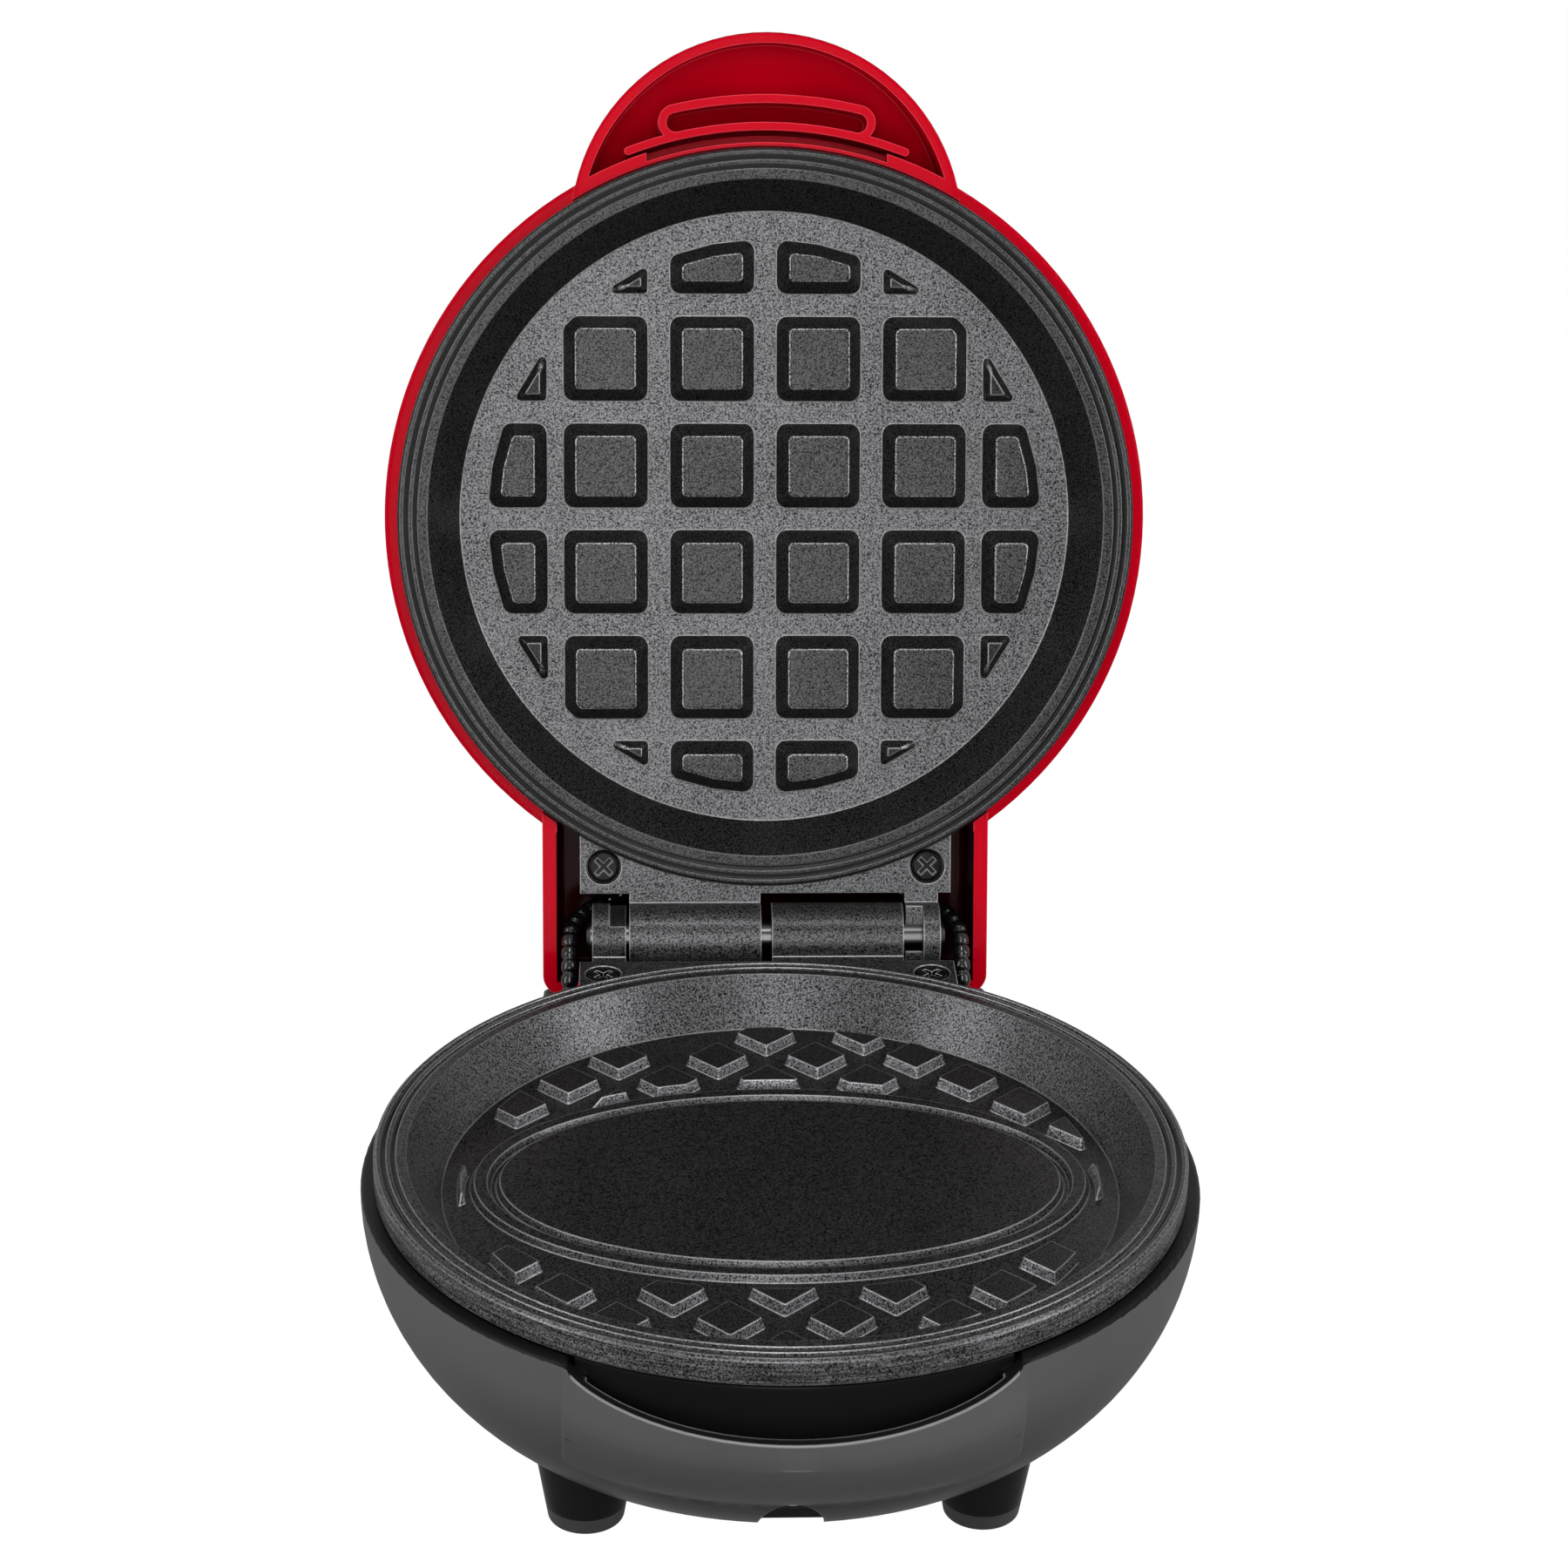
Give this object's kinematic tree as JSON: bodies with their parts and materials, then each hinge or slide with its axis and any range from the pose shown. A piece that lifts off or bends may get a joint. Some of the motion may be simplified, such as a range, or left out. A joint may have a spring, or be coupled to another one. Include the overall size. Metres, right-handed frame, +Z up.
{
  "type": "mini waffle maker",
  "caption": "Round tabletop waffle maker: red domed lid with a tab handle, opened on a rear hinge above a black footed bowl, with cast non-stick plates.",
  "frame": {"origin": "on the table, under the middle of the box around the part with its lid open on the stop", "axes": "+Z up, -Y towards the user (lip and handle), +X to the user's right along the hinge pin"},
  "size_m": [0.1152, 0.1808, 0.1727],
  "materials": {
    "red_shell": "glossy moulded plastic",
    "black_shell": "satin moulded plastic",
    "nonstick": "die-cast, dark non-stick coating",
    "foot_rubber": "matte",
    "steel": "plain",
    "dark_screw": "blackened",
    "heater_sheath": "dull",
    "ceramic": "matte, heat-proof",
    "phenolic": "matte, heat-proof",
    "gland": "matte",
    "sleeve": "varnished braided sleeve",
    "lens": "translucent",
    "lamp_glass": "clear"
  },
  "bodies": {
    "base": {"lower_housing": "black_shell", "base_cover": "black_shell", "base_cover_screws": "steel", "foot_front_left": "foot_rubber", "foot_front_right": "foot_rubber", "foot_rear_left": "foot_rubber", "foot_rear_right": "foot_rubber", "lower_plate": "nonstick", "lower_plate_screws": "dark_screw", "hinge_pin": "steel", "lower_heating_element": "heater_sheath", "lower_heater_seals": "ceramic", "lower_heat_shield": "steel", "lower_shield_screws": "steel", "thermostat": "phenolic", "thermostat_screws": "steel", "thermal_fuse": "ceramic", "fuse_clip": "steel", "terminal_block": "ceramic", "cord_gland": "gland", "lead_right": "sleeve", "lead_left": "sleeve"},
    "lid": {"lid_cover": "red_shell", "upper_plate": "nonstick", "upper_plate_screws": "dark_screw", "upper_heating_element": "heater_sheath", "upper_heater_seals": "ceramic", "upper_heat_shield": "steel", "upper_shield_screws": "steel", "indicator_lens": "lens", "indicator_lamp": "lamp_glass", "lamp_holder": "phenolic"}
  },
  "joints": [
    {"name": "lid_hinge", "type": "hinge", "parent": "base", "child": "lid", "pos_m": [0, 0.03478, 0.04285], "axis": [1, 0, 0], "range_deg": [0, 106.3], "deforming": ["lead_left", "lead_right"]}
  ]
}
